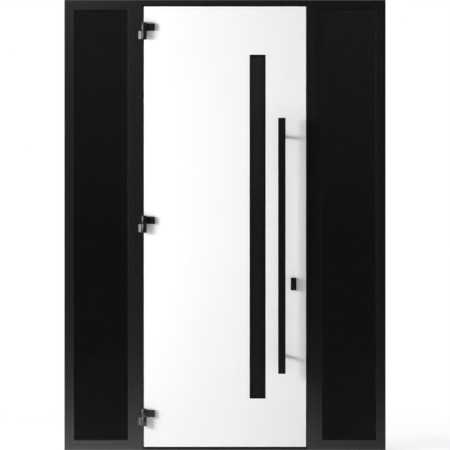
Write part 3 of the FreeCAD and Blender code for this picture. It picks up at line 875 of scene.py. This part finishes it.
@dataclass
class Sidelight(SubAssembly):
    """A fixed glazed frame beside the door.

    Where the groove in the gasket starts and ends is given as shares of the gasket's width, and the arcs of
    its lip in degrees.
    """

    side: Side
    lip_radius: float = 1.1 * MM
    lip_front: Span = (270, 180)
    lip_back: Span = (180, 90)
    lip_steps: int = 4
    groove_depth: float = 0.6 * MM
    groove_mouth: Span = (0.45, 0.65)
    groove_floor: Span = (0.5, 0.6)
    edge_softness: float = 0.15 * MM

    def node(self, part: str) -> str:
        """The name of one of this sidelight's nodes."""
        return f"{self.side.value}_sidelight_{part}"

    def dress_nodes(self) -> None:
        """Gives the frame members, beads, glass and spacer their finishes."""
        members = ("outer_stile", "inner_stile", "top_rail", "bottom_rail")
        self.dress([self.node(part) for part in members], FRAME_BLACK, self.edge_softness)
        self.dress([self.node("beads")], FRAME_BLACK)
        self.dress([self.node("glass")], GLASS)
        self.dress([self.node("spacer")], SPACER)

    def gasket_profile(self, thickness: float, width: float, inwards: bool) -> list[Spot]:
        """The section of a glazing gasket, from the sight line outwards.

        Args:
            thickness: its size along Y.
            width: how far it reaches under the bead.
            inwards: whether the glass lies on the inner side of it.

        Returns:
            The points of the section, out from the sight line and along Y.
        """
        radius = self.lip_radius
        lip = arc((radius, radius), radius, *self.lip_front, self.lip_steps)
        lip += arc((radius, thickness - radius), radius, *self.lip_back, self.lip_steps)
        (mouth_start, mouth_end), (floor_start, floor_end) = self.groove_mouth, self.groove_floor
        bottom = thickness - self.groove_depth
        groove = [
            (width * mouth_start, thickness),
            (width * floor_start, bottom),
            (width * floor_end, bottom),
            (width * mouth_end, thickness),
        ]
        points = [*lip, *groove, (width, thickness), (width, 0)]
        if inwards:
            return points
        return [(out, thickness - along) for out, along in reversed(points)]

    def gasket_width(self, outer: Window) -> float:
        """How wide the gasket is, from its outer edge to the edge of the frame member beside it.

        Args:
            outer: the gasket's outer edge.

        Returns:
            The width.
        """
        low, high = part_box(self.node("outer_stile"))
        if self.side is Side.LEFT:
            return high.x - outer.left
        return outer.right - low.x

    def build_gaskets(self) -> None:
        """Lipped rubber gaskets on both faces of the glass."""
        low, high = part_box(self.node("gaskets"))
        pane_low, pane_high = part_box(self.node("glass"))
        outer = Window.of(self.node("gaskets"))
        width = self.gasket_width(outer)
        sight = outer.inset(width)
        mesh = sight.ring(self.gasket_profile(pane_low.y - low.y, width, True), low.y)
        mesh.add(sight.ring(self.gasket_profile(high.y - pane_high.y, width, False), pane_high.y))
        made = self.add(mesh, self.node("gasket_lips"), Body.FRAME, RUBBER)
        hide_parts(self.node("gaskets"))

    def build(self) -> None:
        """Dresses the sidelight and adds its gaskets."""
        self.dress_nodes()
        self.build_gaskets()


@dataclass
class Doorway(SubAssembly):
    """The jambs, head, threshold and seal round the leaf.

    The radius of the seal's bulb is given as a share of the seal's depth, the bulb's arc in degrees, and the
    places of the threshold's screws as shares of its length.
    """

    cap: CoverCap = CoverCap(radius=7.5 * MM, height=0.9 * MM)
    caps_to_a_jamb: int = 5
    cap_margin: float = 180 * MM
    tread_screw: ScrewHead = ScrewHead(radius=4.2 * MM)
    tread_screw_shares: tuple[float, ...] = (0.08, 0.36, 0.64, 0.92)
    tread_screw_room: float = 4 * MM
    tread_height: float = 8 * MM
    keep_screw: ScrewHead = ScrewHead(radius=3.6 * MM)
    keep_screw_margin: float = 11 * MM
    seal_width: float = 8 * MM
    seal_foot: float = 1.4 * MM
    seal_taper: float = 0.32 * MM
    bulb_share: float = 0.62
    bulb_arc: Span = (20, -200)
    bulb_steps: int = 14
    edge_softness: float = 0.15 * MM

    def dress_nodes(self) -> None:
        """Gives the frame's own nodes their finishes."""
        members = ("hinge_jamb", "lock_jamb", "door_head", "threshold")
        self.dress(members, FRAME_BLACK, self.edge_softness)
        self.dress(["lock_keep"], STEEL)
        self.dress(["glass_setting_blocks"], RUBBER)

    def build_seal(self) -> None:
        """A round seal along the stops, on a flat foot that grips the frame."""
        low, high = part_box("door_seal")
        depth = high.y - low.y
        width = self.seal_width
        radius = depth * self.bulb_share
        shoulder = depth - self.seal_foot
        bulb = arc((width / 2, radius), radius, *self.bulb_arc, self.bulb_steps)
        taper = self.seal_taper
        foot = [(taper, shoulder), (0, depth), (width, depth), (width - taper, shoulder)]
        sight = Window.of("door_seal").inset(width)
        made = self.add(sight.ring(bulb + foot, low.y), "door_seal_bulb", Body.FRAME, RUBBER)
        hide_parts("door_seal")

    def build_jamb_caps(self) -> None:
        """Cover caps over the frame fixings, in the rebates where the leaf hides them."""
        stile_low, stile_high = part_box("leaf_hinge_stile")
        middle = (stile_low.y + stile_high.y) / 2
        left, right = (corner.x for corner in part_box("threshold"))
        for node, face, axis in (("hinge_jamb", left, Axis.RIGHT), ("lock_jamb", right, Axis.LEFT)):
            low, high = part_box(node)
            step = (high.z - low.z - self.cap_margin * 2) / (self.caps_to_a_jamb - 1)
            heights = [low.z + self.cap_margin + step * index for index in range(self.caps_to_a_jamb)]
            caps = scattered(self.cap.mesh(), [(face, middle, z) for z in heights], axis)
            self.add(caps, f"{node}_cover_caps", Body.FRAME, SPACER)

    def build_keep_screws(self) -> None:
        """A countersunk screw at each end of the keep."""
        screws = plate_screws("lock_keep", self.keep_screw, self.keep_screw_margin, Axis.LEFT)
        self.add(screws, "lock_keep_screws", Body.FRAME, STEEL)

    def build_threshold_screws(self) -> None:
        """Countersunk screws along the flat of the tread, behind its grooves."""
        low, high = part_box("threshold")
        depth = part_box("door_seal")[0].y - self.tread_screw_room
        span = high.x - low.x
        places = [(low.x + span * share, depth, self.tread_height) for share in self.tread_screw_shares]
        screws = scattered(self.tread_screw.mesh(), places, Axis.UP)
        self.add(screws, "threshold_screws", Body.FRAME, STEEL)

    def build(self) -> None:
        """Dresses the doorway and adds its seal, caps and screws."""
        self.dress_nodes()
        self.build_seal()
        self.build_jamb_caps()
        self.build_keep_screws()
        self.build_threshold_screws()


@dataclass
class Leaf(SubAssembly):
    """The door leaf: skins, rim, core, glass strip and the plate in its lock edge."""

    sealant_sink: float = 0.35 * MM
    sealant_edge_sink: float = 0.105 * MM
    sealant_thickness: float = 3 * MM
    sealant_steps: int = 6
    plate_screw: ScrewHead = ScrewHead(radius=3.6 * MM)
    plate_screw_margin: float = 11 * MM
    edge_softness: float = 0.4 * MM

    def dress_nodes(self) -> None:
        """Gives the leaf's nodes their finishes."""
        self.dress(["leaf_outer_skin"], LEAF_WHITE)
        self.dress(["leaf_inner_skin"], LEAF_WHITE, self.edge_softness)
        self.dress(["leaf_hinge_stile", "leaf_lock_stile", "leaf_top_rail", "leaf_bottom_rail"], RIM)
        self.dress(["leaf_core"], FOAM)
        self.dress(["strip_glass"], STRIP_GLASS)
        self.dress(["strip_liner"], SPACER)
        self.dress(["lock_edge_plate", "lock_bolts"], STEEL)

    def build_sealant(self) -> None:
        """A hollow bead of black sealant in the joint round each pane of the strip."""
        pane = Window.of("strip_glass")
        joint = pane.left - Window.of("strip_liner").left
        low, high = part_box("strip_glass")
        hollow = self.sealant_sink - self.sealant_edge_sink
        for face, surface in ((Face.OUTSIDE, low.y), (Face.INSIDE, high.y)):
            section = []
            for step in range(self.sealant_steps + 1):
                share = step / self.sealant_steps
                dip = self.sealant_edge_sink + hollow * math.sin(math.pi * share)
                section.append((joint * share, -dip * face.value))
            bottom = -self.sealant_thickness * face.value
            section += [(joint, bottom), (0, bottom)]
            self.add(pane.ring(section, surface), f"strip_sealant_{face.word}", Body.LEAF, RUBBER)

    def build_edge_screws(self) -> None:
        """A countersunk screw at each end of the plate in the lock edge."""
        screws = plate_screws("lock_edge_plate", self.plate_screw, self.plate_screw_margin, Axis.RIGHT)
        self.add(screws, "lock_edge_screws", Body.LEAF, STEEL)

    def build(self) -> None:
        """Dresses the leaf and adds its sealant and screws."""
        self.dress_nodes()
        self.build_sealant()
        self.build_edge_screws()


@dataclass
class PullBar(SubAssembly):
    """A flat bar on two posts, on one face of the leaf."""

    face: Face
    set_screw: ScrewHead = ScrewHead(radius=2.6 * MM)
    post_radius: float = 10 * MM
    screw_reach: float = 12 * MM

    def dress_nodes(self) -> None:
        """Gives the bar and its posts their finish."""
        self.dress([f"{self.face.word}_pull_bar", f"{self.face.word}_bar_posts"], FITTING_BLACK)

    def build_set_screws(self) -> None:
        """A set screw in the underside of each post, where it clamps its foot."""
        low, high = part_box(f"{self.face.word}_bar_posts")
        middle = (low.x + high.x) / 2
        rise = (high.x - low.x) / 2 - self.post_radius
        fall = rise + self.post_radius * 2
        leaf_side = low.y if self.face is Face.INSIDE else high.y
        depth = leaf_side + self.screw_reach * self.face.value
        places = [(middle, depth, low.z + rise), (middle, depth, high.z - fall)]
        screws = scattered(self.set_screw.mesh(), places, Axis.DOWN)
        self.add(screws, f"{self.face.word}_post_set_screws", Body.LEAF, FITTING_BLACK)

    def build(self) -> None:
        """Dresses the bar and adds its set screws."""
        self.dress_nodes()
        self.build_set_screws()


@dataclass
class Lock(SubAssembly):
    """The roses and the profile cylinder."""

    plug_radius: float = 6.6 * MM
    ring_width: float = 0.5 * MM
    ring_rise: float = 0.25 * MM
    ring_segments: int = 48
    edge_softness: float = 0.3 * MM

    def dress_nodes(self) -> None:
        """Gives the roses and the cylinder their finishes."""
        nodes = ("outside_lock_rose", "inside_lock_rose", "lock_cylinder")
        self.dress(nodes, FITTING_BLACK, self.edge_softness)

    def build_plug_rings(self) -> None:
        """The fine raised edge of the plug that turns in each end of the cylinder."""
        low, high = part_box("lock_cylinder")
        middle = (low.x + high.x) / 2
        radius = (high.x - low.x) / 2
        height = high.z - radius
        outer, inner = self.plug_radius, self.plug_radius - self.ring_width
        outline = [(inner, 0), (inner, self.ring_rise), (outer, self.ring_rise), (outer, 0), (inner, 0)]
        ring = turned(outline, self.ring_segments)
        for face, axis, surface in ((Face.OUTSIDE, Axis.OUT, low.y), (Face.INSIDE, Axis.IN, high.y)):
            edge = scattered(ring, [(middle, surface, height)], axis)
            self.add(edge, f"cylinder_plug_edge_{face.word}", Body.LEAF, FITTING_BLACK)

    def build(self) -> None:
        """Dresses the lock and adds the plug's edges."""
        self.dress_nodes()
        self.build_plug_rings()


@dataclass
class Hinges(SubAssembly):
    """The barrel hinges: knuckles, pins and the screw in each end of a pin."""

    count: int = 3
    pin_length: float = 93.2 * MM
    pin_screw: ScrewHead = ScrewHead(radius=4.5 * MM)
    edge_softness: float = 0.3 * MM

    def dress_nodes(self) -> None:
        """Gives the hinges their finish."""
        nodes = ("hinge_frame_knuckles", "hinge_leaf_knuckles", "hinge_pins")
        self.dress(nodes, HINGE_BLACK, self.edge_softness)

    def build_pin_screws(self) -> None:
        """A screw with a six-sided socket in both ends of each pin."""
        low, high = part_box("hinge_pins")
        middle = ((low.x + high.x) / 2, (low.y + high.y) / 2)
        step = (high.z - low.z - self.pin_length) / (self.count - 1)
        bottoms = [low.z + step * index for index in range(self.count)]
        shape = self.pin_screw.mesh()
        screws = scattered(shape, [(*middle, z) for z in bottoms], Axis.DOWN)
        screws.add(scattered(shape, [(*middle, z + self.pin_length) for z in bottoms], Axis.UP))
        self.add(screws, "hinge_pin_screws", Body.FRAME, HINGE_BLACK)

    def build(self) -> None:
        """Dresses the hinges and adds their screws."""
        self.dress_nodes()
        self.build_pin_screws()


# Studio

@dataclass(frozen=True)
class Lamp:
    """A square soft lamp."""

    name: str
    place: Point
    aim: Point
    size: float
    power: float
    only_mirrored: bool = False

    def build(self) -> None:
        """Hangs the lamp and turns it to what it lights."""
        data = bpy.data.lights.new(self.name, "AREA")
        data.size = self.size
        data.energy = self.power
        light = bpy.data.objects.new(self.name, data)
        bpy.context.scene.collection.objects.link(light)
        light.location = self.place
        facing = Vector(self.aim) - Vector(self.place)
        light.rotation_euler = facing.to_track_quat("-Z", "Y").to_euler()
        light.visible_camera = False
        light.visible_diffuse = not self.only_mirrored


@dataclass
class Studio:
    """The floor, the backdrop, the lamps and the camera. None of it belongs to the door.

    The key lamp stands far out to the left and a little in front. The corner lamp is a faint one close to
    the upper left corner, and shows only as a sheen on the paint.

    Seen directly, the floor gives way to white with its distance from the unit. Far in front and far out at
    the sides it stays a little under white. The fade at the sides reads the square of the distance. In
    mirrored rays the floor glows in an oval along the unit, more so on the key lamp's side. The world is a
    dim room in front of the unit, paler towards its ceiling, and a white backdrop behind it. Seen directly,
    the backdrop is white only straight behind the unit, and a little under white elsewhere.
    """

    floor_reach: float = 14.0
    floor_grey: float = 0.9
    floor_roughness: float = 0.8
    floor_reflection: float = 0.1
    floor_white: Fade = Fade((1.6, 4.5), (0.55, 1.0))
    front_tone: Fade = Fade((-2.5, -0.2), (UNDER_WHITE, 1.0))
    side_tone: Fade = Fade((2.2**2, 5.0**2), (1.0, UNDER_WHITE))
    glow_squeeze: Point = (0.3, 1.0, 1.0)
    glow: Fade = Fade((0.85, 1.15), (1.4, 0.02))
    glow_slant: Fade = Fade((-1.2, 1.2), (2.9, 0.6), soft=False)
    room: Fade = Fade((0.0, 0.8), (0.0, 0.37), soft=False)
    backdrop: Fade = Fade((0.0, 0.06), (0.75, 1.4), soft=False)
    room_to_backdrop: Fade = Fade((-0.3, 0.3), (0.0, 1.0), soft=False)
    backdrop_seen: Fade = Fade((0.94, 0.99), (UNDER_WHITE, 1.0))
    key: Lamp = Lamp("key_light", (-5.87, -2.95, 2.15), (0.0, 0.0, 1.25), size=1.7, power=544.0)
    corner: Lamp = Lamp(
        "corner_light", (-1.3, -1.5, 3.2), (-0.8, 0.0, 2.4), size=0.6, power=10.5, only_mirrored=True
    )
    camera_distance: float = 20.0
    sensor: float = 36.0
    overfill: float = 1.0012

    def floor_shader(self) -> Shader:
        """A pale floor that turns into the backdrop away from the unit and keeps its shadow.

        Returns:
            The floor's material.
        """
        shader = Shader("studio_floor")
        grey = self.floor_grey
        shader.set(Base_Color=(grey, grey, grey, 1))
        shader.set(Roughness=self.floor_roughness, Specular_IOR_Level=self.floor_reflection)
        across, along, _ = shader.split(shader.place)
        front = shader.faded(along, self.front_tone)
        side = shader.faded(shader.combined("MULTIPLY", across, across), self.side_tone)
        white = shader.combined("MINIMUM", front, side)
        share = shader.faded(shader.distance(), self.floor_white)
        seen = shader.combined("MULTIPLY", shader.ray("Is Camera Ray"), share)
        surface = shader.glowing(seen, white, shader.surface.outputs["BSDF"])
        bounced = shader.opposite(shader.ray("Is Transmission Ray"))
        mirrored = shader.combined("MULTIPLY", shader.ray("Is Glossy Ray"), bounced)
        oval = shader.faded(shader.distance(self.glow_squeeze), self.glow)
        glow = shader.combined("MULTIPLY", oval, shader.faded(across, self.glow_slant))
        shader.show(shader.glowing(mirrored, glow, surface))
        return shader

    def build_floor(self) -> None:
        """One flat square under the unit."""
        reach = self.floor_reach
        data = bpy.data.meshes.new("studio_floor")
        corners = [(-reach, -reach, 0), (reach, -reach, 0), (reach, reach, 0), (-reach, reach, 0)]
        data.from_pydata(corners, [], [(0, 1, 2, 3)])
        data.materials.append(self.floor_shader().material)
        floor = bpy.data.objects.new("studio_floor", data)
        bpy.context.scene.collection.objects.link(floor)

    def build_world(self) -> None:
        """The room in front of the unit and the backdrop behind it."""
        world = bpy.data.worlds.new("studio")
        bpy.context.scene.world = world
        world.use_nodes = True
        nodes = NodeSet(world.node_tree)
        _, along, up = nodes.split(nodes.add("ShaderNodeTexCoord").outputs["Generated"])
        turn = nodes.faded(along, self.room_to_backdrop)
        around = nodes.mixed(turn, nodes.faded(up, self.room), nodes.faded(up, self.backdrop))
        shown = nodes.mixed(nodes.ray("Is Camera Ray"), around, nodes.faded(along, self.backdrop_seen))
        back = nodes.tree.nodes["Background"]
        back.inputs["Color"].default_value = (1, 1, 1, 1)
        nodes.tree.links.new(shown, back.inputs["Strength"])

    def build_camera(self) -> None:
        """A camera straight in front, that the unit's outer face fills from top to bottom."""
        low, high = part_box("hinge_jamb")
        height = high.z - low.z
        data = bpy.data.cameras.new("camera")
        data.sensor_width = self.sensor
        data.lens = self.sensor * (self.camera_distance + low.y) / height * self.overfill
        camera = bpy.data.objects.new("camera", data)
        bpy.context.scene.collection.objects.link(camera)
        camera.location = (0, -self.camera_distance, height / 2)
        camera.rotation_euler = (UPRIGHT, 0, 0)
        bpy.context.scene.camera = camera

    def build(self) -> None:
        """Makes the whole studio."""
        self.build_floor()
        self.build_world()
        self.key.build()
        self.corner.build()
        self.build_camera()
        bpy.context.scene.view_settings.view_transform = "Standard"


def main() -> None:
    """Builds every sub-assembly in order, reports its pieces, and adds the studio."""
    logging.basicConfig(level=logging.INFO, format="%(message)s")
    assemblies: list[SubAssembly] = [
        *(Sidelight(side) for side in Side),
        Doorway(),
        Leaf(),
        *(PullBar(face) for face in Face),
        Lock(),
        Hinges(),
    ]
    for assembly in assemblies:
        assembly.build()
        for piece in assembly.pieces:
            log.info("%s: %s, %d faces", type(assembly).__name__, piece.name, len(piece.data.polygons))
    Studio().build()


if __name__ == "__main__":
    main()
